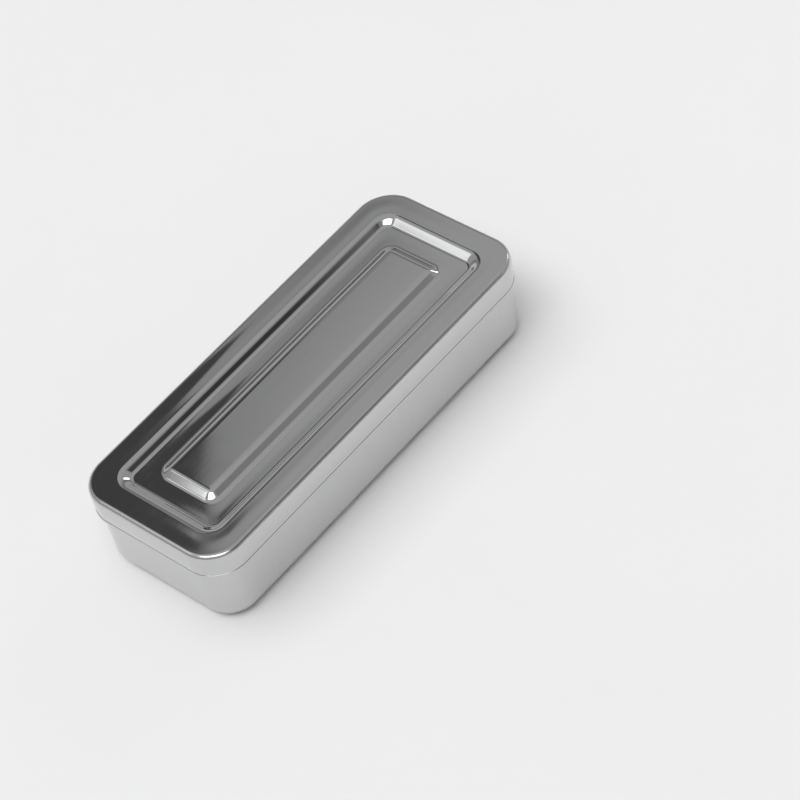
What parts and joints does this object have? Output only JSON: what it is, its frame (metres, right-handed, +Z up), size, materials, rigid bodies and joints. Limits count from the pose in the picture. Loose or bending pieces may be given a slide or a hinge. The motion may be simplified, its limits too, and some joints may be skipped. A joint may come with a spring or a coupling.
{
  "type": "instrument tray with cover",
  "caption": "Long shallow deep-drawn steel instrument tray with rounded corners and a slip-over cover with an embossed top.",
  "frame": {"origin": "the middle of the tray's flat bottom, on the surface that it stands on", "axes": "+X along the tray's length, +Y across it, +Z up through the cover"},
  "size_m": [0.2, 0.0804, 0.044],
  "materials": {
    "tray_steel": "satin polished stainless steel, light draw lines",
    "cover_steel": "mirror polished stainless steel"
  },
  "bodies": {
    "tray": {"tray": "tray_steel"},
    "cover": {"cover": "cover_steel"}
  },
  "joints": [
    {"name": "cover_lift", "type": "slide", "parent": "tray", "child": "cover", "axis": [0, 0, 1], "range_m": [0, 0.06]}
  ]
}
